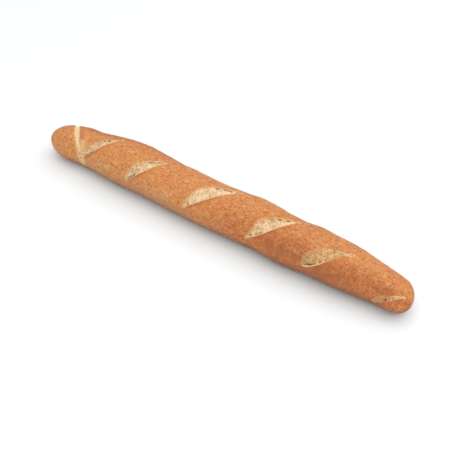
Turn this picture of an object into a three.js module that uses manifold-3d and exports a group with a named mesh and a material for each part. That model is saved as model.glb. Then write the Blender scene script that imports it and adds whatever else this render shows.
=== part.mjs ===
// A bran baguette: one baked piece, lying on the flat base that it was baked on, with seven diagonal
// scores over its crest. Millimetres, +Z up, +X along the loaf towards its narrower, blunter end.
// The origin is at the bottom centre of the loaf's bounding box.
import * as THREE from "three";
import { mergeVertices } from "three/addons/utils/BufferGeometryUtils.js";
import Module from "manifold-3d";

// Driving dimensions
const LENGTH = 560;
const HEIGHT_TO_WIDTH = 0.85; // an oven loaf slumps a little as it rises
const FAR_END_ROUNDING = 42; // length of the domed end at -X
const NEAR_END_ROUNDING = 17; // length of the blunter end at +X
const BASE_CLEARANCE = 11; // height of the section's centre, less its share of the half height
const BASE_SHARE = 0.5;
const HALF_LENGTH = LENGTH / 2;

// Half width of the dough along the loaf, before its ends are rounded: [x, half width]
const HALF_WIDTHS = [
  [-280, 24],
  [-240, 27.5],
  [-200, 29.5],
  [-160, 34],
  [-120, 35.5],
  [-80, 34],
  [0, 33],
  [80, 33],
  [160, 31],
  [200, 29.5],
  [240, 24],
  [280, 19.5],
];

// Sideways bow of the loaf's centre line: [x, y]
const BOW = [
  [-280, -3.5],
  [-240, -3],
  [-200, 1],
  [-120, 3],
  [-40, 0.5],
  [0, -0.5],
  [80, 2],
  [120, -1],
  [160, 1],
  [240, 0.5],
  [280, -4],
];

// Mesh density of the body and of one score
const AROUND = 44;
const ALONG = 80;
const CROWDING = 0.65; // share of the stations' spacing that closes up round the ends
const SCORE_AROUND = 16;
const SCORE_ALONG = 22;
const SAMPLES_PER_SPAN = 40; // straight pieces between two places of a smooth curve
const MERGE_DISTANCE = 1e-3; // vertices nearer than this are one

// Each score runs from the near flank, a, over the crest, b. Angles are in degrees from the crest,
// positive towards +Y. Width is across the middle of the opening, bulge is how far its middle has
// pulled towards its upper edge, depth is below the crust, and lean is how far the deepest line
// lies towards the upper edge.
const SCORES = [
  { a: [-204, -62], b: [-266, 90], width: 7.4, bulge: 0.5, depth: 2, lean: 0 },
  { a: [-197, -72], b: [-150, 14], width: 13.5, bulge: 3.8, depth: 2.2, lean: 2 },
  { a: [-113, -79], b: [-69, 6], width: 14.5, bulge: 4.2, depth: 2.6, lean: 2.5 },
  { a: [-14, -70], b: [44, 21], width: 19, bulge: 7.3, depth: 2.8, lean: 3 },
  { a: [81, -75], b: [130, 18], width: 16.5, bulge: 4.7, depth: 2.6, lean: 2.5 },
  { a: [155, -83], b: [197, -13], width: 17.5, bulge: 4.7, depth: 2.6, lean: 2.5 },
  { a: [242, -101], b: [273, -30], width: 5.5, bulge: 0.1, depth: 1.8, lean: 1 },
];
const SCORE_TAPER = 1.2; // above 1 the widest place of a score lies nearer its start

const wasm = await Module();
wasm.setup();

// A smooth curve y(x) through a list of [x, y] places, held level past its ends.
function through(places) {
  const curve = new THREE.SplineCurve(places.map(([x, y]) => new THREE.Vector2(x, y)));
  const samples = curve.getPoints(SAMPLES_PER_SPAN * (places.length - 1));
  return (x) => {
    if (x <= samples[0].x) return samples[0].y;
    const next = samples.findIndex((point) => point.x >= x);
    if (next < 0) return samples[samples.length - 1].y;
    const [from, to] = [samples[next - 1], samples[next]];
    return THREE.MathUtils.mapLinear(x, from.x, to.x, from.y, to.y);
  };
}

const halfWidth = through(HALF_WIDTHS);
const bow = through(BOW);

// Share of the full half width that is left at x: 1 along the loaf, falling to 0 round each end.
function endRounding(x) {
  const dome = (distance, length) => {
    const inward = THREE.MathUtils.clamp(distance / length, 0, 1);
    return Math.sqrt(1 - (1 - inward) ** 2);
  };
  return dome(HALF_LENGTH + x, FAR_END_ROUNDING) * dome(HALF_LENGTH - x, NEAR_END_ROUNDING);
}

// The point of the crust at x and at an angle from the crest, raised above the crust by lift.
function crust(x, angle, lift = 0) {
  const across = halfWidth(x) * endRounding(x);
  const up = across * HEIGHT_TO_WIDTH;
  const centre = BASE_CLEARANCE + BASE_SHARE * halfWidth(x) * HEIGHT_TO_WIDTH;
  const outward = new THREE.Vector2(Math.sin(angle) * HEIGHT_TO_WIDTH, Math.cos(angle)).normalize();
  return new THREE.Vector3(
    x,
    bow(x) + across * Math.sin(angle) + lift * outward.x,
    centre + up * Math.cos(angle) + lift * outward.y,
  );
}

// Moves each vertex of a unit sphere whose poles are on X to where place says.
function pulledSphere(around, along, place) {
  const geometry = new THREE.SphereGeometry(1, around, along).rotateZ(-Math.PI / 2);
  const position = geometry.getAttribute("position");
  const vertex = new THREE.Vector3();
  for (let i = 0; i < position.count; i++) {
    place(vertex.fromBufferAttribute(position, i));
    position.setXYZ(i, vertex.x, vertex.y, vertex.z);
  }
  return geometry;
}

// A closed solid from a geometry.
function solid(geometry) {
  geometry.deleteAttribute("normal");
  geometry.deleteAttribute("uv");
  const merged = mergeVertices(geometry, MERGE_DISTANCE);
  const mesh = new wasm.Mesh({
    numProp: 3,
    vertProperties: merged.getAttribute("position").array,
    triVerts: new Uint32Array(merged.index.array),
  });
  return new wasm.Manifold(mesh);
}

// The whole dough: a sphere drawn out along X. Its stations are even along the loaf and close up
// round the ends.
function dough() {
  return solid(
    pulledSphere(AROUND, ALONG, (vertex) => {
      const share = Math.asin(THREE.MathUtils.clamp(vertex.x, -1, 1)) / (Math.PI / 2);
      const angle = Math.atan2(vertex.y, vertex.z);
      const x = HALF_LENGTH * THREE.MathUtils.lerp(share, vertex.x, CROWDING);
      vertex.copy(crust(x, angle));
    }),
  );
}

// What one score opens in the crust: a lens that follows the curve of the crust from a to b, fuller
// towards a, its lower edge nearly straight and its upper edge pulled open.
function opening({ a, b, width, bulge, depth, lean }) {
  const start = new THREE.Vector2(a[0], THREE.MathUtils.degToRad(a[1]));
  const end = new THREE.Vector2(b[0], THREE.MathUtils.degToRad(b[1]));
  const girth = halfWidth((start.x + end.x) / 2);
  const run = new THREE.Vector2(end.x - start.x, (end.y - start.y) * girth);
  const side = new THREE.Vector2(-run.y, run.x).normalize();
  return solid(
    pulledSphere(SCORE_AROUND, SCORE_ALONG, (vertex) => {
      const along = ((vertex.x + 1) / 2) ** SCORE_TAPER;
      const pulled = bulge * (1 - vertex.x ** 2);
      const sideways = (vertex.y * width) / 2 + pulled - lean * vertex.z;
      const x = THREE.MathUtils.lerp(start.x, end.x, along) + side.x * sideways;
      const angle = THREE.MathUtils.lerp(start.y, end.y, along) + (side.y * sideways) / girth;
      vertex.copy(crust(x, angle, depth * vertex.z));
    }),
  );
}

// Everything below the surface that the loaf was baked on.
function bakingSurface() {
  const thickness = 20;
  return solid(
    new THREE.BoxGeometry(2 * LENGTH, LENGTH, thickness).translate(0, 0, -thickness / 2),
  );
}

// A three.js geometry of a solid, with its origin at its bounding box's bottom centre.
function geometryOf(made) {
  const { vertProperties, triVerts } = made.getMesh();
  const geometry = new THREE.BufferGeometry()
    .setAttribute("position", new THREE.BufferAttribute(vertProperties, 3))
    .setIndex(new THREE.BufferAttribute(triVerts, 1));
  geometry.computeBoundingBox();
  const middle = geometry.boundingBox.getCenter(new THREE.Vector3());
  geometry.translate(-middle.x, -middle.y, -geometry.boundingBox.min.z);
  geometry.computeVertexNormals();
  return geometry;
}

function bakedCrust() {
  return new THREE.MeshStandardMaterial({ color: 0xcb8955, roughness: 0.8, metalness: 0 });
}

const scored = SCORES.reduce(
  (loaf, score) => loaf.subtract(opening(score)),
  dough().subtract(bakingSurface()),
);

const loaf = new THREE.Mesh(geometryOf(scored), bakedCrust());
loaf.name = "loaf";

const baguette = new THREE.Group();
baguette.add(loaf);

export default baguette;
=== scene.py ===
# The looks of a bran baguette: one baked loaf that stands for the CAD node "loaf". Metres, in the
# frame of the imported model: +X along the loaf towards its narrower, blunter end, +Z up, and the
# origin on the surface that the loaf lies on, under the middle of its box. The dough is worked out
# in millimetres and in degrees round from its crest, positive towards +Y, and its vertices are
# turned to metres as they are placed.
import math
from collections import namedtuple

import bmesh
import bpy
import numpy as np
from mathutils import Matrix, Vector, noise


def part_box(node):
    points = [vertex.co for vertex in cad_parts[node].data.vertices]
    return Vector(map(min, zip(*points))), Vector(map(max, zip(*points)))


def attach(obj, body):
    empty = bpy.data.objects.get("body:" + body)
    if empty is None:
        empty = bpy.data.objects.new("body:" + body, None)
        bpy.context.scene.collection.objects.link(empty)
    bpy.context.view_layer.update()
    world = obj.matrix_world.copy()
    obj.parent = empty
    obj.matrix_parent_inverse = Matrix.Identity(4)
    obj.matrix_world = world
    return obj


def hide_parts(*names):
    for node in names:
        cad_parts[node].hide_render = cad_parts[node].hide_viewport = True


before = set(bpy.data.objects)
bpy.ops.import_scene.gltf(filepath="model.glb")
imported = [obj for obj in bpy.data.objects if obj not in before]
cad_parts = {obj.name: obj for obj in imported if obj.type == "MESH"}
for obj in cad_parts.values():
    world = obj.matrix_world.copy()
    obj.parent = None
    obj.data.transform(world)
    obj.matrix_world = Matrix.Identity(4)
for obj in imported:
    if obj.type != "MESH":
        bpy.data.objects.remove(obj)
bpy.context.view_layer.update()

MM = 0.001
low_corner, high_corner = (Vector(corner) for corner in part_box("loaf"))

# The dough, as the CAD has it
LENGTH = round((high_corner.x - low_corner.x) / MM, 2)
HALF_LENGTH = LENGTH / 2
HEIGHT_TO_WIDTH = 0.85  # an oven loaf slumps a little as it rises
FAR_END_ROUNDING = 42  # length of the domed end at -X
NEAR_END_ROUNDING = 17  # length of the blunter end at +X
BASE_CLEARANCE = 11  # height of the section's centre, less its share of the half height
BASE_SHARE = 0.5

# Half width of the dough along the loaf, before its ends are rounded: (x, half width)
HALF_WIDTHS = [
    (-280, 24),
    (-240, 27.5),
    (-200, 29.5),
    (-160, 34),
    (-120, 35.5),
    (-80, 34),
    (0, 33),
    (80, 33),
    (160, 31),
    (200, 29.5),
    (240, 24),
    (280, 19.5),
]

# Sideways bow of the loaf's centre line: (x, y)
BOW = [
    (-280, -3.5),
    (-240, -3),
    (-200, 1),
    (-120, 3),
    (-40, 0.5),
    (0, -0.5),
    (80, 2),
    (120, -1),
    (160, 1),
    (240, 0.5),
    (280, -4),
]
SAMPLES_PER_SPAN = 40  # straight pieces between two places of a smooth curve

# Each score runs from the near flank, a, over the crest, b: (x, degrees). Rise is how far its torn
# upper edge has pulled away from the line of the cut, and belly how far its clean lower edge sags
# below that line. Full below 1 keeps the opening wide towards its ends. Depth is how far the crumb
# lies below the crust at most, ear how far the upper edge leans over the opening, and step how far
# the crumb lies below the lower edge at the start. Toast is how far its crumb has browned, up to 1,
# or stayed pale, down to -1, and pores is how open the crumb is, from 0 to 1.
Score = namedtuple("Score", "a b rise belly full depth ear step toast pores")
SCORES = [
    Score((-204, -62), (-266, 90), 4.2, 3.2, 0.60, 2.0, 0.1, 1.4, -0.5, 0.1),
    Score((-197, -72), (-150, 14), 10.5, 3.0, 0.95, 1.8, 1.0, 0.9, 0.30, 0.6),
    Score((-113, -79), (-69, 6), 11.5, 3.2, 0.90, 2.2, 0.7, 0.9, 0.20, 0.8),
    Score((-14, -70), (44, 21), 16.8, 2.2, 0.85, 2.4, 1.1, 1.0, 0.00, 0.5),
    Score((81, -75), (130, 18), 13.0, 3.6, 0.90, 2.2, 1.1, 1.5, 0.22, 0.6),
    Score((155, -83), (197, -13), 13.6, 4.2, 0.80, 2.2, 0.5, 1.8, 0.88, 0.9),
    Score((242, -101), (273, -30), 2.8, 2.6, 0.80, 1.6, 0.9, 0.9, 1.00, 0.6),
]

# How every score opens. A run is a share of a score's length: where something begins and is full.
LOWER_SKEW = 0.6  # below 1 the lower edge sags most nearer the start
UPPER_SKEW = 0.85  # and so does the upper edge, but less
LOWER_FULL = 0.8
TEARING_RISE = 9  # a score that rises this far is torn as raggedly as any
TEARING_SEED = 0.37  # steps in its noise for each millimetre of its station: none are torn alike
TEARING_PLACES = 240  # places along an edge where its noise is worked out
END_HOLD = 3  # how far past its ends a score still moves the crust
DEEPEST_WIDTH = 8  # an opening this wide is as deep as it gets
GENTLE_RAMP = 3  # how far inside the upper edge the crumb reaches its depth, at the start
CRISP_RAMP = 0.7  # and at the far end, and inside the lower edge
STEP_RUN = (0.1, 0.7)  # where the step inside the lower edge is worn down
STEP_WORN = 0.6  # share of the step that is gone past there
EAR_RUN = (0.35, 0.7)  # where the torn upper edge rises into an ear
EAR_AT_START = 0.1  # share of its lean that the edge has before
EAR_WIDTH = 7  # an opening this wide has its whole ear
EAR_REACH = (3, 0.45)  # how far outside and inside its edge the ear leans
EAR_CURL = 0.5  # share of its lean by which the ear also stands up
CURL_REACH = (4, 0.5)
UNDERCUT = 0.7  # share of its lean by which the crumb inside the ear draws back under it
UNDERCUT_RAMP = (0.2, 0.9)  # how far inside that begins and is full
UNDERCUT_REACH = 2
LIP_HEIGHT = 0.45  # of the crust's rim along the lower edge
LIP_REACH = (2.2, 0.5)
SWELL_HEIGHT = 0.7  # of the crust outside the lower edge
SWELL_PLACE = 6
SWELL_REACH = 9
RIM_WIDTH = 5  # an opening this wide has its whole lip, swell and curl
GAP_PLACE = 1.5  # how far inside the ear the crumb has drawn away
GAP_REACH = 0.5
GAP_DEPTH = 1.4
GAP_WIDTH = 6  # an opening this wide has its whole gaps
GAP_NOISE = (-0.1, 0.2)  # the noise at which a gap begins and is whole

# How the crumb is torn
CRUMB_FROM = 0.3  # how far inside a score the crust gives way to crumb
CRUMB_FULL = 1.6  # and there is nothing but crumb
PORE_NOISE = 0.2  # the noise above which a pore opens
PORE_SHADE = 1.2  # how dark it is for its depth
HOLE_NOISE = -0.08  # the same of the larger holes
HOLE_SHADE = 2.4
HOLE_RAMP = (28, 10)  # how far from the start of a score they begin, and are all there
HOLE_PLACE = 2  # how far inside its lower edge they lie
HOLE_REACH = 1.2

# Where the crust has stretched thin beside a score and stayed pale: from, to, half width, and how
# pale, up to 1
STRETCHED = [
    ((-205, -52), (-198, -94), 6.5, 1.0),
    ((-206, -38), (-200, -60), 8, 0.6),
    ((-212, -40), (-258, 70), 5, 0.45),
    ((-16, -73), (-14, -70), 2.4, 0.65),
    ((79, -78), (81, -75), 2.4, 0.65),
    ((197, -13), (203, -6), 2.4, 0.7),
]

# Where the dough bulges beside a score or sinks between two, below 0: x, degrees from the crest,
# length, spread in degrees, lift
BULGES = [
    (262, -80, 9, 26, 1.5),
    (-262, 20, 16, 60, 0.6),
    (-220, 28, 9, 40, 1.5),
    (-165, 34, 22, 40, -0.9),
    (-62, 38, 13, 36, -0.9),
    (14, 36, 16, 32, -0.5),
    (64, 48, 11, 26, 1.2),
    (102, 40, 9, 30, -0.7),
    (150, 48, 11, 26, 1.2),
    (262, 50, 12, 30, 0.5),
]

# Unevenness: millimetres from lump to lump, how high or deep it goes, and a seed of its own
Lumps = namedtuple("Lumps", "spacing reach seed")
ROLLING = Lumps(34, 0.45, 3)  # slow swells that shaping by hand leaves
DIMPLES = Lumps(12, 0.28, 5)
GRAIN = Lumps(3.6, 0.05, 7)
BLISTERS = Lumps(7, 0.7, 11)
BLISTER_NOISE = 0.38  # the noise above which the crust blisters
CRUMB_LUMPS = Lumps(4.5, 0.3, 13)
PORES = Lumps(2.6, 1.8, 17)
HOLES = Lumps(2.3, 1.6, 23)  # the larger pores at the start of a score
STRANDS = Lumps(2.6, 0.4, 29)
STRAND_LENGTH = 9  # how far a strand of crumb runs across the opening
BAKE_PATCHES = Lumps(40, 0.12, 19)  # of the bake's tone, which has no height
CUT_WANDER = Lumps(6, 0.35, 0)  # of the clean lower edge
TEARS = Lumps(8, 2.0, 9)  # of the torn upper edge
NICKS = Lumps(2.8, 1.3, 17)
GAPS = Lumps(5, 1, 0)  # where along the ear there is a gap
SOFT_BASE = 1.2  # how softly the flank rounds into the flat base

# How dark the crust has baked, from about 0, golden, to about 1.5, deep brown, and the shade that is
# painted into it: a middle tone, and where the loaf is darker or, below 0, paler than that. Each is
# limited by ramps, (axis, where there is none, where it is full), and humps, (axis, middle, reach), on
# the stations, x, and on the degrees from the crest, turned.
MIDDLE_TONE = 0.54
NEAR_END = ("x", -60, 165)
NEAR_FLANK = ("turned", 6, -70)
BEHIND_CREST = [("turned", -5, 50), ("turned", 115, 58)]
LOW_DOWN = [("turned", -88, -122), ("x", 262, 225)]
BROWNING_AND_SHADE = [
    # the near end, most of all its flank, but for its tip and a band before it
    (0.06, [NEAR_END], []),
    (0.84, [NEAR_END, NEAR_FLANK], []),
    (-0.168, [NEAR_END, NEAR_FLANK, ("x", 245, 270)], []),
    (-0.34, [("x", 200, 240)], [("turned", -70, 18)]),
    # painted shade just above the last score, along its torn upper edge
    (0.25, [], [("x", 256, 16), ("turned", -50, 16)]),
    # painted shade behind the crest, most of all at the far end; the far end is paler on its flank
    (0.15, BEHIND_CREST, []),
    (1, [*BEHIND_CREST, ("x", 20, -240)], []),
    (-0.25, [("x", 165, -60)], [("turned", -82, 24)]),
    # painted shade low on the flank, towards the floor, most of all at the near end
    (0.24, LOW_DOWN, []),
    (0.36, [*LOW_DOWN, NEAR_END], []),
]

# Mesh density
AROUND = 144
ALONG = 440
CREST_PACKING = 0.22  # share of the angles' spacing that closes up towards the crest
END_CROWDING = 0.3  # share of the stations' spacing that closes up round the ends
EDGE_FOCUS = 1.6  # vertices this near to an edge of a score are drawn towards it
FOCUS_SHARE = 0.45  # but never those past this share of its width
FINE_MARGIN = 2.5  # how far round a score the faces are halved
FAR_OUTSIDE = -40  # stands for any distance that is well outside every score
EDGE_REACH = 4  # how far inside an edge of a score the crumb is all alike
SURFACE_STEPS = 4000  # straight pieces that the length of the crust is measured in
STRIP_HEIGHT = 0.5  # share of the map that each strip of the laid out crust takes
STRIP_MARGIN = 0.01  # bare share of the map round each strip
NOTHING = 1e-6  # small enough to pass for none, and safe to divide by


def through(places):
    """The smooth curve y(x) that the CAD draws through these places, held level past its ends."""
    last = len(places) - 1
    steps = np.linspace(0, 1, SAMPLES_PER_SPAN + 1)
    line = []
    for span in range(last):
        p0, p1, p2, p3 = (np.array(places[min(max(span + k, 0), last)], float) for k in (-1, 0, 1, 2))
        for t in steps:
            v0 = (p2 - p0) / 2
            v1 = (p3 - p1) / 2
            cubic = (2 * p1 - 2 * p2 + v0 + v1) * t**3
            square = (-3 * p1 + 3 * p2 - 2 * v0 - v1) * t**2
            line.append(cubic + square + v0 * t + p1)
    xs, ys = np.array(line).T
    return lambda x: np.interp(x, xs, ys)


half_width = through(HALF_WIDTHS)
bow = through(BOW)


def smooth(low, high, value):
    """0 at low, 1 at high, and a smooth ramp between them."""
    t = np.clip((value - low) / (high - low), 0, 1)
    return t * t * (3 - 2 * t)


def hump(distance, reach):
    """1 at no distance, falling smoothly to nothing a few reaches away."""
    return np.exp(-((distance / reach) ** 2))


def ridge(inside, reach):
    """1 on an edge, falling off by the first reach outside it and by the second inside it."""
    outer, inner = reach
    return np.where(inside < 0, hump(inside, outer), hump(inside, inner))


def dome(distance, length):
    """The rise of a quarter circle: 0 at no distance, 1 at length and past it."""
    inward = np.clip(distance / length, 0, 1)
    return np.sqrt(1 - (1 - inward) ** 2)


def end_rounding(x):
    """Share of the full half width that is left at x: 1 along the loaf, 0 at each end."""
    return dome(HALF_LENGTH + x, FAR_END_ROUNDING) * dome(HALF_LENGTH - x, NEAR_END_ROUNDING)


def crust(x, angle):
    """Points of the smooth crust and its outward directions."""
    across = half_width(x) * end_rounding(x)
    up = across * HEIGHT_TO_WIDTH
    centre = BASE_CLEARANCE + BASE_SHARE * half_width(x) * HEIGHT_TO_WIDTH
    points = np.stack([x, bow(x) + across * np.sin(angle), centre + up * np.cos(angle)], 1)
    outward = np.stack([np.zeros_like(x), np.sin(angle) * HEIGHT_TO_WIDTH, np.cos(angle)], 1)
    outward /= np.linalg.norm(outward, axis=1)[:, None]
    return points, outward


def cloud(points, lumps):
    """Smooth noise from -1 to 1 at each point."""
    offset = Vector((lumps.seed, -lumps.seed, lumps.seed / 2))
    return np.array([noise.noise(Vector(p) / lumps.spacing + offset) for p in points])


def wobble(along, length, lumps, seed):
    """Smooth noise from -1 to 1 along one edge of a score."""
    steps = np.linspace(0, 1, TEARING_PLACES)
    row = lumps.seed + seed
    values = [noise.noise(Vector((t * length / lumps.spacing, row, 0))) for t in steps]
    return np.interp(along, steps, values)


Place = namedtuple("Place", "along low high wide over side length seed")


def score_place(score, x, angle):
    """Where points of the crust lie in a score: how far along it from 0 to 1, how far inside its
    lower and its upper edge, below 0 outside it, how wide it is there, how far past its ends they
    are, the way across it, its length and its seed."""
    start = np.array([score.a[0], math.radians(score.a[1])])
    end = np.array([score.b[0], math.radians(score.b[1])])
    girth = float(half_width((start[0] + end[0]) / 2))
    run = np.array([end[0] - start[0], (end[1] - start[1]) * girth])
    length = float(np.hypot(*run))
    side = np.array([-run[1], run[0]]) / length
    rel = np.stack([x - start[0], (angle - start[1]) * girth])
    along = (rel[0] * run[0] + rel[1] * run[1]) / length**2
    across = rel[0] * side[0] + rel[1] * side[1]
    share = np.clip(along, 0, 1)
    seed = score.a[0] * TEARING_SEED

    sag = np.sin(math.pi * share**LOWER_SKEW) ** LOWER_FULL
    pull = np.sin(math.pi * share**UPPER_SKEW) ** score.full
    wander = CUT_WANDER.reach * wobble(share, length, CUT_WANDER, seed)
    torn = TEARS.reach * wobble(share, length, TEARS, seed)
    torn += NICKS.reach * wobble(share, length, NICKS, seed)
    lower = sag * (wander - score.belly)
    upper = pull * (score.rise + torn * min(1, score.rise / TEARING_RISE))
    over = np.maximum(np.maximum(-along, along - 1), 0) * length
    wide = np.maximum(upper - lower, 0)
    way = side / np.array([1, girth])
    return Place(share, across - lower - over, upper - across - over, wide, over, way, length, seed)


def focus(distance, reach):
    """Draws points that are near an edge towards it, so that a crisp edge has enough of them."""
    reach = np.maximum(reach, NOTHING)
    near = np.abs(distance) < reach
    return np.where(near, np.sign(distance) * distance**2 / reach - distance, 0)


def score_shape(score, x, angle):
    """How one score moves the crust: its place, the shift towards its upper edge, the lift, how far
    inside it points lie, and where the crumb has drawn away under the ear and left a gap."""
    at = score_place(score, x, angle)
    held = np.exp(-at.over / END_HOLD)
    inside = np.minimum(at.low, at.high)
    far = smooth(*EAR_RUN, at.along)
    reach = np.minimum(EDGE_FOCUS, FOCUS_SHARE * at.wide)
    shift = focus(at.low, reach) - focus(at.high, reach)

    # In its far half the torn upper edge is an ear, which leans over the opening
    lean = score.ear * (EAR_AT_START + (1 - EAR_AT_START) * far) * np.minimum(1, at.wide / EAR_WIDTH)
    under_ear = smooth(*UNDERCUT_RAMP, at.high) * np.exp(-np.maximum(at.high, 0) / UNDERCUT_REACH)
    shift += lean * held * (UNDERCUT * under_ear - ridge(at.high, EAR_REACH))

    # The crumb lies below a crisp lower edge, and near the start it meets the upper edge gently
    depth = score.depth * np.minimum(1, at.wide / DEEPEST_WIDTH)
    step = np.minimum(score.step * (1 - STEP_WORN * smooth(*STEP_RUN, at.along)), depth)
    across = np.clip(at.low / np.maximum(at.wide, NOTHING), 0, 1)
    floor = step + (depth - step) * 4 * across * (1 - across)
    upper_ramp = smooth(0, 1, at.high / (GENTLE_RAMP + (CRISP_RAMP - GENTLE_RAMP) * far))
    sunk = floor * smooth(0, CRISP_RAMP, at.low) * upper_ramp

    # Under the ear the crumb has drawn away here and there
    drawn_away = far * smooth(*GAP_NOISE, wobble(at.along, at.length, GAPS, at.seed))
    gap = drawn_away * hump(at.high - GAP_PLACE, GAP_REACH) * np.minimum(1, at.wide / GAP_WIDTH)
    sunk += GAP_DEPTH * lean * gap

    # The crust is lifted round the opening
    lip = LIP_HEIGHT * ridge(at.low, LIP_REACH)
    swell = np.where(at.low < 0, smooth(0, SWELL_PLACE, -at.low), 0)
    swell *= SWELL_HEIGHT * hump(at.low + SWELL_PLACE, SWELL_REACH)
    curl = EAR_CURL * lean * ridge(at.high, CURL_REACH)
    raised = (lip + swell + curl) * np.minimum(1, at.wide / RIM_WIDTH) * held
    lift = raised - np.where(inside > 0, sunk, 0)
    return at, shift, lift, inside, gap * min(1, score.ear)


def torn_crumb(points, low, high, walked):
    """The lift of the torn crumb, and how hollow it is, from 0 to 1: strands drawn across the
    opening, open pores, and a row of holes above the lower edge at the start of a score. Walked is
    the distance along the score."""
    drawn_out = np.stack([walked, high * STRANDS.spacing / STRAND_LENGTH, 0 * high], 1)
    pores = np.maximum(cloud(points, PORES) - PORE_NOISE, 0)
    start = smooth(*HOLE_RAMP, walked) * hump(low - HOLE_PLACE, HOLE_REACH)
    holes = start * np.maximum(cloud(points, HOLES) - HOLE_NOISE, 0)
    lift = CRUMB_LUMPS.reach * cloud(points, CRUMB_LUMPS) + STRANDS.reach * cloud(drawn_out, STRANDS)
    lift -= PORES.reach * pores + HOLES.reach * holes
    return lift, np.clip(PORE_SHADE * pores + HOLE_SHADE * holes, 0, 1)


def beside(start, end, x, angle):
    """How far points of the crust lie from a line drawn on it."""
    girth = float(half_width(start[0]))
    first = np.array([start[0], math.radians(start[1]) * girth])
    run = np.array([end[0], math.radians(end[1]) * girth]) - first
    rel = np.stack([x, angle * girth]) - first[:, None]
    along = np.clip(run @ rel / (run @ run), 0, 1)
    return np.hypot(*(rel - run[:, None] * along))


def laid_out(points):
    """The station and the angle from the crest that each point of the starting sphere stands for."""
    unit = points / np.linalg.norm(points, axis=1)[:, None]
    share = np.arcsin(np.clip(unit[:, 0], -1, 1)) / (math.pi / 2)
    x = HALF_LENGTH * ((1 - END_CROWDING) * share + END_CROWDING * unit[:, 0])
    turn = np.arctan2(unit[:, 1], unit[:, 2])
    return x, turn - CREST_PACKING * np.sin(turn)


def fine_faces(bm):
    """The faces on and around the scores."""
    x, angle = laid_out(np.array([face.calc_center_median() for face in bm.faces]))
    close = np.zeros(len(x), bool)
    for score in SCORES:
        at = score_place(score, x, angle)
        close |= np.minimum(at.low, at.high) > -FINE_MARGIN
    return [face for face, near in zip(bm.faces, close) if near]


def settle(z):
    """Height with the base pressed flat by the surface that the loaf was baked on."""
    return (z + np.sqrt(z**2 + SOFT_BASE**2)) / 2


def baked_and_shaded_tone(points, x, angle):
    """How dark the crust has baked at each point, and the shade painted into it."""
    places = {"x": x, "turned": np.degrees(angle)}
    tone = MIDDLE_TONE + BAKE_PATCHES.reach * cloud(points, BAKE_PATCHES)
    for darker, ramps, humps in BROWNING_AND_SHADE:
        share = np.ones(len(x))
        for axis, none, full in ramps:
            share *= smooth(none, full, places[axis])
        for axis, middle, reach in humps:
            share *= hump(places[axis] - middle, reach)
        tone += darker * share
    return tone


def unwrapped(mesh, x, angle):
    """Lays the crust out flat in two strips, one for each half of the loaf, cut along the base."""
    corners = np.empty(len(mesh.loops), np.int32)
    mesh.loops.foreach_get("vertex_index", corners)
    sides = np.empty(len(mesh.polygons), np.int32)
    mesh.polygons.foreach_get("loop_total", sides)
    face = np.repeat(np.arange(len(sides)), sides)
    corner_x, corner_angle = x[corners], angle[corners]
    off_pole = np.abs(corner_x) < HALF_LENGTH - NOTHING
    sine = np.bincount(face, off_pole * np.sin(corner_angle))
    cosine = np.bincount(face, off_pole * np.cos(corner_angle))
    middle_angle = np.arctan2(sine, cosine)[face]
    near_half = (np.bincount(face, corner_x) > 0)[face]
    turns = np.round((corner_angle - middle_angle) / math.tau)
    corner_angle = np.where(off_pole, corner_angle - math.tau * turns, middle_angle)

    stations = np.linspace(-HALF_LENGTH, HALF_LENGTH, SURFACE_STEPS + 1)
    reach = half_width(stations) * end_rounding(stations)
    surface = np.cumsum(np.hypot(np.diff(stations), np.diff(reach)))
    walked = np.interp(corner_x, stations[1:], surface)
    half = np.interp(0, stations[1:], surface)
    far_share = walked / half
    near_share = (walked - half) / (surface[-1] - half)
    u = STRIP_MARGIN + (1 - 2 * STRIP_MARGIN) * np.where(near_half, near_share, far_share)
    v = STRIP_HEIGHT * (0.5 + near_half) + (STRIP_HEIGHT - 2 * STRIP_MARGIN) * corner_angle / math.tau
    flat = mesh.uv_layers.new(name="OFBake")
    flat.uv.foreach_set("vector", np.stack([u, v], 1).ravel().astype(np.float32))


def round_blank():
    """A ball with its poles on X, whose faces are finer where the scores will be."""
    bm = bmesh.new()
    bmesh.ops.create_uvsphere(bm, u_segments=AROUND, v_segments=ALONG, radius=1)
    bmesh.ops.rotate(bm, verts=bm.verts, matrix=Matrix.Rotation(math.pi / 2, 3, "Y"))
    fine = {edge for face in fine_faces(bm) for edge in face.edges}
    bmesh.ops.subdivide_edges(bm, edges=list(fine), cuts=1, use_grid_fill=True)
    return bm


# What each vertex carries for the material: how far inside the lower and the upper edge of the
# nearest score it lies, its share of that score's length, its distance along and across it, how far
# its crumb has toasted, how hollow it is, which sets the shade painted into pores and gaps, how far
# the crust stretched pale, and how dark it baked, together with the shade painted into that
MARKS = ("in_low", "in_high", "score_run", "walked", "drawn", "toast", "hollow", "pale", "bake")


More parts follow.
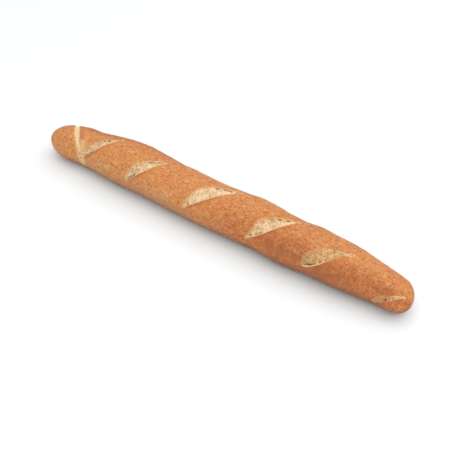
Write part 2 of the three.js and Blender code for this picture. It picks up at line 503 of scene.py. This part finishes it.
def scored(x, angle):
    """What the scores do to the crust: its new stations and angles, its lift, how far inside the
    nearest score and its lower edge each place is, how open the crumb is, and its marks."""
    marks = {name: np.zeros(len(x)) for name in MARKS}
    nearest, low, high = (np.full(len(x), float(FAR_OUTSIDE)) for _ in range(3))
    lift, openness = np.zeros(len(x)), np.zeros(len(x))
    moved_x, moved_angle = x.copy(), angle.copy()
    for score in SCORES:
        at, shift, raised, inside, gap = score_shape(score, x, angle)
        moved_x += shift * at.side[0]
        moved_angle += shift * at.side[1]
        lift += raised
        here = inside > nearest
        nearest[here], low[here], high[here] = inside[here], at.low[here], at.high[here]
        marks["score_run"][here] = at.along[here]
        marks["walked"][here] = at.along[here] * at.length
        marks["toast"][here] = score.toast
        openness[here] = score.pores
        marks["hollow"] = np.maximum(marks["hollow"], gap)
    marks["drawn"] = high
    marks["in_low"] = np.minimum(low, EDGE_REACH)
    marks["in_high"] = np.minimum(high, EDGE_REACH)
    for start, end, reach, share in STRETCHED:
        pale = share * hump(beside(start, end, x, angle), reach)
        marks["pale"] = np.maximum(marks["pale"], pale)
    moved_x = np.clip(moved_x, -HALF_LENGTH, HALF_LENGTH)
    return moved_x, moved_angle, lift, nearest, low, openness, marks


def risen(x, angle):
    """Where each place of the crust is once the loaf has baked, and its marks."""
    moved_x, moved_angle, lift, nearest, low, openness, marks = scored(x, angle)
    points, outward = crust(moved_x, moved_angle)
    for bulge_x, degrees, length, spread, height in BULGES:
        bulge = hump(moved_x - bulge_x, length) * hump(np.degrees(moved_angle) - degrees, spread)
        lift += np.where(nearest < 0, height * bulge, 0)

    # The crust rolls and blisters, the crumb is torn
    lift += ROLLING.reach * cloud(points, ROLLING) + DIMPLES.reach * cloud(points, DIMPLES)
    crumb = smooth(CRUMB_FROM, CRUMB_FULL, nearest)
    blister = BLISTERS.reach * np.maximum(cloud(points, BLISTERS) - BLISTER_NOISE, 0)
    lift += (1 - crumb) * (GRAIN.reach * cloud(points, GRAIN) + blister)
    opened = np.flatnonzero(nearest > CRUMB_FROM)
    high, walked = marks["drawn"][opened], marks["walked"][opened]
    torn, holes = torn_crumb(points[opened], low[opened], high, walked)
    open_crumb = crumb[opened] * openness[opened]
    lift[opened] += open_crumb * torn
    marks["hollow"][opened] = np.maximum(marks["hollow"][opened], open_crumb * holes)
    points += outward * (lift * end_rounding(moved_x))[:, None]
    points[:, 2] = settle(points[:, 2])

    # The CAD's box is centred on the origin across the loaf
    smooth_points, _ = crust(x, angle)
    points[:, 1] -= (smooth_points[:, 1].max() + smooth_points[:, 1].min()) / 2
    marks["bake"] = baked_and_shaded_tone(points, moved_x, moved_angle)
    return points, marks


def shaped_loaf():
    """The loaf as one closed piece, marked for its material."""
    bm = round_blank()
    x, angle = laid_out(np.array([vert.co for vert in bm.verts]))
    points, marks = risen(x, angle)
    for name, values in marks.items():
        layer = bm.verts.layers.float.new(name)
        for vert, value in zip(bm.verts, values):
            vert[layer] = float(value)
    for vert, point in zip(bm.verts, points):
        vert.co = Vector(point) * MM
    bmesh.ops.recalc_face_normals(bm, faces=bm.faces)
    for face in bm.faces:
        face.smooth = True
    mesh = bpy.data.meshes.new("loaf_baked")
    bm.to_mesh(mesh)
    bm.free()
    unwrapped(mesh, x, angle)
    piece = bpy.data.objects.new("loaf_baked", mesh)
    bpy.context.scene.collection.objects.link(piece)
    return piece


def linear(hex_colour):
    """A colour given as sRGB hex, as the linear numbers that a shader takes."""
    shares = [int(hex_colour[i : i + 2], 16) / 255 for i in (1, 3, 5)]
    return [s / 12.92 if s <= 0.04045 else ((s + 0.055) / 1.055) ** 2.4 for s in shares] + [1]


def add(tree, kind, inputs=None, **settings):
    """Adds a node with its settings. inputs gives each socket a value or what it is linked to."""
    made = tree.nodes.new(kind)
    for name, value in settings.items():
        setattr(made, name, value)
    for socket, value in (inputs or {}).items():
        if isinstance(value, bpy.types.NodeSocket):
            tree.links.new(value, made.inputs[socket])
        else:
            made.inputs[socket].default_value = value
    return made


# Bran bread, baked straight on the hot floor of an oven. The crust is dough that the heat dried and
# browned, so it is matt and mottled from gold to chestnut: palest where it stretched late in the
# bake, darkest where it sat on the floor, and painted with shade behind its crest, above its last
# score, under the lips of its scores and low down near the floor. Flakes of bran scorch before the
# flour does, and pepper it with reddish specks. The crumb is the same dough torn open along the
# scores: cream, dry, rougher than the crust, drawn out in strands, with edges that fray, and painted
# shade in its pores and gaps and at the start of each opening.
CRUST_ROUGHNESS = 0.62
CRUMB_ROUGHNESS = 0.92
BREAD_IOR = 1.45  # starch and fat

# Noise of the bread: millimetres between its features, detail, roughness. Bran milled fine is 0.5
# to 1 mm across and so are the smallest pores: too fine to show on a whole loaf, so specks, flecks
# and pores are drawn two to three times as coarse.
CLOUDS = {
    "mottle": (9, 3, 0.55),
    "blotches": (5, 2, 0.5),
    "specks": (2.3, 3, 0.55),
    "flecks": (2.7, 2, 0.5),
    "fray": (2.4, 3, 0.55),
    "crumb_lumps": (6, 3, 0.5),
    "fine_pores": (1.7, 2, 0.5),
}
MOTTLE_DEPTH = 1.2  # how far the mottling lightens and darkens the bake
FLAKE_SPACING = 4.1  # broad bran is 1 to 2 mm across, and is drawn over 2 mm across so that it shows
STRAND_SPACING = 2.4  # of the crumb's streaks, side by side
STRAND_REACH = 8  # and how far one runs across the opening
FRAY_LOW = 1.0  # how far the clean lower edge is frayed
FRAY_HIGH = 5  # and the torn upper edge
RELIEF = 0.5  # height of the finest grain
RELIEF_STRENGTH = 0.14

# Coats of the crust and the crumb, each over the ones before it: colour, share, and the masks that
# limit it: (field, where there is none of it, where it is full). Height and along are in metres.
CRUST_GOLD = "#cf9b60"
# the stretch of a score, from its start, below which painted shade lies under its lip
ALONG_LIP_SHADE = [("score_run", 0.0, 0.1), ("score_run", 0.9, 0.25)]
CRUST_COATS = [
    # the bake, from amber to chestnut, with the shade painted into its tone, and its paler blotches
    ("#ce8446", 1.0, [("tone", 0.0, 0.5)]),
    ("#bf7037", 1.0, [("tone", 0.5, 1.1)]),
    ("#9b5a2e", 1.0, [("tone", 1.0, 1.8)]),
    ("#e5aa6c", 0.42, [("blotches", 0.5, 0.66), ("tone", 1.6, 0.5)]),
    # browner below the scores, darker low down on the far half, and darkest at the base, each with painted
    # shade
    # browner crust below a score, and painted shade under its lip
    ("#ad5c2f", 0.66, [("in_low", -8, -1), ("in_low", 0.2, -0.4), *ALONG_LIP_SHADE]),
    # painted shade low down on the far half, near the floor
    ("#7e5f47", 0.28, [("height", 0.04, 0.024), ("along", 0.1, -0.02), ("along", -0.28, -0.1)]),
    # a browner sole at the base, and painted shade from the floor over it, darkest nearest the floor
    ("#7e5f47", 0.74, [("height", 0.025, 0.006)]),
    ("#664632", 0.75, [("height", 0.015, 0.004), ("along", -0.32, -0.1), ("along", 0.32, 0.2)]),
    # stretched late: beside the scores, above them, and the rims of their ears
    ("#e3ba83", 0.85, [("pale", 0.0, 0.75)]),
    ("#e0b078", 0.5, [("in_high", -4, -0.3), ("score_run", 0.75, 0.3), ("in_low", -1, 1)]),
    ("#ecc994", 0.85, [("in_high", -1.8, -0.3), ("score_run", 0.4, 0.65), ("in_low", -1, 1)]),
    # bran
    ("#a05212", 0.44, [("specks", 0.48, 0.66)]),
    ("#84421e", 0.42, [("specks", 0.5, 0.7), ("tone", 0.5, 1.3)]),
    ("#f0c8a0", 0.21, [("flecks", 0.54, 0.7), ("tone", 2.0, 0.7)]),
    ("#8e3c10", 0.6, [("flake_edge", 0.44, 0.14), ("flake_pick", 0.4, 0.5)]),
]
CRUMB_CREAM = "#edcb9e"
CRUMB_COATS = [
    ("#d2a87e", 0.8, [("crumb_lumps", 0.42, 0.62)]),
    ("#c88d57", 1.0, [("toast", 0.0, 1.0)]),
    # paler past the middle, and streaked by its strands
    ("#f3dbac", 0.6, [("score_run", 0.45, 0.8), ("toast", 1.0, 0.5)]),
    ("#f1dab2", 0.45, [("strands", 0.5, 0.7), ("toast", 1.0, 0.3)]),
    ("#b88e62", 0.5, [("strands", 0.48, 0.3), ("toast", 1.0, 0.3)]),
    ("#e9cb98", 0.6, [("flecks", 0.5, 0.62), ("toast", 0.3, 0.9)]),
    # greyer at the start of each opening: painted shade in its hollow there
    ("#b0976d", 0.75, [("score_run", 0.42, 0.1), ("crumb_lumps", 0.35, 0.55), ("toast", 0.0, 0.2)]),
    # painted shade in the fine pores
    ("#94703f", 0.5, [("fine_pores", 0.52, 0.66)]),
    # pale rims inside both edges
    ("#f0cf9a", 0.7, [("frayed_high", 4.8, 4.0), ("score_run", 0.4, 0.7)]),
    ("#f3d7a6", 0.75, [("in_low", 1.5, 0.9), ("score_run", 0.8, 0.3), ("toast", 1.0, 0.9)]),
    # the score that stayed pale all through, and the shade inside pores and gaps
    ("#ebc99a", 0.9, [("toast", 0.0, -0.5)]),
    ("#5a4024", 0.85, [("hollow", 0.1, 0.55)]),
]
CRUMB_EDGES = [("frayed_low", 0.4, 0.85), ("frayed_high", 1.5, 4.3)]
FACTOR, UNDER, OVER = 0, 6, 7  # the sockets of a mix of two colours
MIXED = 2  # and the one that it comes out of


def masked(tree, fields, share, masks):
    """A share, limited by each mask in turn."""
    for field, none, full in masks:
        limits = {"Value": fields[field], "From Min": none, "From Max": full}
        mask = add(tree, "ShaderNodeMapRange", limits, interpolation_type="SMOOTHSTEP")
        factors = {0: share, 1: mask.outputs["Result"]}
        share = add(tree, "ShaderNodeMath", factors, operation="MULTIPLY").outputs[0]
    return share


def coats(tree, fields, colour, layers):
    """Lays coats over a colour."""
    for tint, share, masks in layers:
        mix = {FACTOR: masked(tree, fields, share, masks), UNDER: colour, OVER: linear(tint)}
        colour = add(tree, "ShaderNodeMix", mix, data_type="RGBA").outputs[MIXED]
    return colour


def bread_fields(tree):
    """All that the coats are masked by."""
    place = add(tree, "ShaderNodeTexCoord").outputs["Object"]
    metres = add(tree, "ShaderNodeSeparateXYZ", {0: place})
    fields = {"along": metres.outputs["X"], "height": metres.outputs["Z"]}
    for name in MARKS:
        fields[name] = add(tree, "ShaderNodeAttribute", attribute_name=name).outputs["Fac"]
    for name, (spacing, detail, rough) in CLOUDS.items():
        looks = {"Vector": place, "Scale": 1 / (spacing * MM), "Detail": detail, "Roughness": rough}
        fields[name] = add(tree, "ShaderNodeTexNoise", looks).outputs[0]
    flakes = add(tree, "ShaderNodeTexVoronoi", {"Vector": place, "Scale": 1 / (FLAKE_SPACING * MM)})
    fields["flake_edge"] = flakes.outputs["Distance"]
    fields["flake_pick"] = flakes.outputs["Color"]

    # Strands of crumb run across the opening
    flat = add(tree, "ShaderNodeCombineXYZ", {"X": fields["walked"], "Y": fields["drawn"]}).outputs[0]
    scale = (1 / STRAND_SPACING, 1 / STRAND_REACH, 1)
    drawn_out = add(tree, "ShaderNodeMapping", {"Vector": flat, "Scale": scale}).outputs[0]
    strands = add(tree, "ShaderNodeTexNoise", {"Vector": drawn_out, "Scale": 1, "Detail": 2})
    fields["strands"] = strands.outputs[0]

    # The bake is mottled, and the edges of the scores are frayed
    mottled = {0: fields["mottle"], 1: MOTTLE_DEPTH, 2: fields["bake"]}
    tone = add(tree, "ShaderNodeMath", mottled, operation="MULTIPLY_ADD").outputs[0]
    evened = {0: tone, 1: MOTTLE_DEPTH / 2}
    fields["tone"] = add(tree, "ShaderNodeMath", evened, operation="SUBTRACT").outputs[0]
    for edge, depth in (("low", FRAY_LOW), ("high", FRAY_HIGH)):
        frayed = {0: fields["fray"], 1: depth, 2: fields["in_" + edge]}
        fields["frayed_" + edge] = add(tree, "ShaderNodeMath", frayed, operation="MULTIPLY_ADD").outputs[0]
    return fields


def bread():
    """The material of the whole loaf, crust and crumb."""
    material = bpy.data.materials.new("bran_bread_oven_baked")
    material.use_nodes = True
    tree = material.node_tree
    shader = tree.nodes["Principled BSDF"]
    fields = bread_fields(tree)
    crumb = masked(tree, fields, 1.0, CRUMB_EDGES)
    crust_colour = coats(tree, fields, linear(CRUST_GOLD), CRUST_COATS)
    crumb_colour = coats(tree, fields, linear(CRUMB_CREAM), CRUMB_COATS)
    both = {FACTOR: crumb, UNDER: crust_colour, OVER: crumb_colour}
    colour = add(tree, "ShaderNodeMix", both, data_type="RGBA").outputs[MIXED]
    tree.links.new(colour, shader.inputs["Base Color"])
    limits = {"Value": crumb, "To Min": CRUST_ROUGHNESS, "To Max": CRUMB_ROUGHNESS}
    roughness = add(tree, "ShaderNodeMapRange", limits)
    tree.links.new(roughness.outputs["Result"], shader.inputs["Roughness"])
    shader.inputs["IOR"].default_value = BREAD_IOR

    grain = {0: crumb, 1: fields["fine_pores"], 2: fields["specks"]}
    height = add(tree, "ShaderNodeMath", grain, operation="MULTIPLY_ADD").outputs[0]
    looks = {"Height": height, "Strength": RELIEF_STRENGTH, "Distance": RELIEF * MM}
    bump = add(tree, "ShaderNodeBump", looks)
    tree.links.new(bump.outputs["Normal"], shader.inputs["Normal"])
    return material


def backdrop_paper():
    """Uncoated paper, pressed without a glaze: a pale, faintly cool matt sheet that only takes the
    loaf's shadow."""
    material = bpy.data.materials.new("uncoated_paper_pale")
    material.use_nodes = True
    shader = material.node_tree.nodes["Principled BSDF"]
    shader.inputs["Base Color"].default_value = linear(PAPER_WHITE)
    shader.inputs["Roughness"].default_value = PAPER_ROUGHNESS
    return material


PAPER_WHITE = "#f3f7f8"
PAPER_ROUGHNESS = 0.9

# The studio. The camera looks down at the flank where the scores begin, and its aim, from the middle
# of the loaf's box, and its distance are shares of the loaf's length.
CAMERA_AZIMUTH = 35.703  # degrees from straight in front, towards +X
CAMERA_ELEVATION = 42.010  # degrees above the floor
CAMERA_AIM = (0.08429, -0.05232, 0)
CAMERA_DISTANCE = 1.37675
LENS = 50.35  # focal length in millimetres, on a sensor 36 mm wide
SENSOR = 36
FLOOR_HALF = 4  # metres
TENT_WHITE = "#ffffff"
TENT_STRENGTH = 0.68

# Softboxes: name, place and size in metres, watts
SOFTBOXES = [
    ("overhead_softbox", (0.2, 0.3, 1.5), 3.2, 24),
    ("front_fill", (0.5, -1.1, 0.9), 1.6, 4),
]


def studio_camera():
    """The camera, aimed at the loaf."""
    aim = (low_corner + high_corner) / 2 + Vector(CAMERA_AIM) * LENGTH * MM
    azimuth, elevation = math.radians(CAMERA_AZIMUTH), math.radians(CAMERA_ELEVATION)
    towards = Vector((math.sin(azimuth), -math.cos(azimuth), math.tan(elevation))).normalized()
    lens = bpy.data.cameras.new("studio_camera")
    lens.sensor_width = SENSOR
    lens.lens = LENS
    camera = bpy.data.objects.new("studio_camera", lens)
    camera.location = aim + towards * CAMERA_DISTANCE * LENGTH * MM
    camera.rotation_euler = towards.to_track_quat("Z", "Y").to_euler()
    bpy.context.scene.collection.objects.link(camera)
    return camera


def studio_floor():
    """A plain square floor."""
    mesh = bpy.data.meshes.new("studio_floor")
    bm = bmesh.new()
    bmesh.ops.create_grid(bm, x_segments=1, y_segments=1, size=FLOOR_HALF)
    bm.to_mesh(mesh)
    bm.free()
    mesh.materials.append(backdrop_paper())
    floor = bpy.data.objects.new("studio_floor", mesh)
    bpy.context.scene.collection.objects.link(floor)
    return floor


def softbox(name, place, size, power):
    """A square studio light that faces the loaf."""
    light = bpy.data.lights.new(name, "AREA")
    light.size = size
    light.energy = power
    lamp = bpy.data.objects.new(name, light)
    lamp.location = place
    lamp.rotation_euler = Vector(place).to_track_quat("Z", "Y").to_euler()
    bpy.context.scene.collection.objects.link(lamp)


def light_tent():
    """Even white light from all round."""
    world = bpy.data.worlds.new("light_tent")
    world.use_nodes = True
    background = world.node_tree.nodes["Background"]
    background.inputs["Color"].default_value = linear(TENT_WHITE)
    background.inputs["Strength"].default_value = TENT_STRENGTH
    return world


scene = bpy.context.scene
scene.camera = studio_camera()
scene.world = light_tent()
scene.view_settings.view_transform = "Standard"
for light in SOFTBOXES:
    softbox(*light)
studio_floor()

loaf = shaped_loaf()
loaf.data.materials.append(bread())
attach(loaf, "root")
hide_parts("loaf")

bpy.context.view_layer.update()
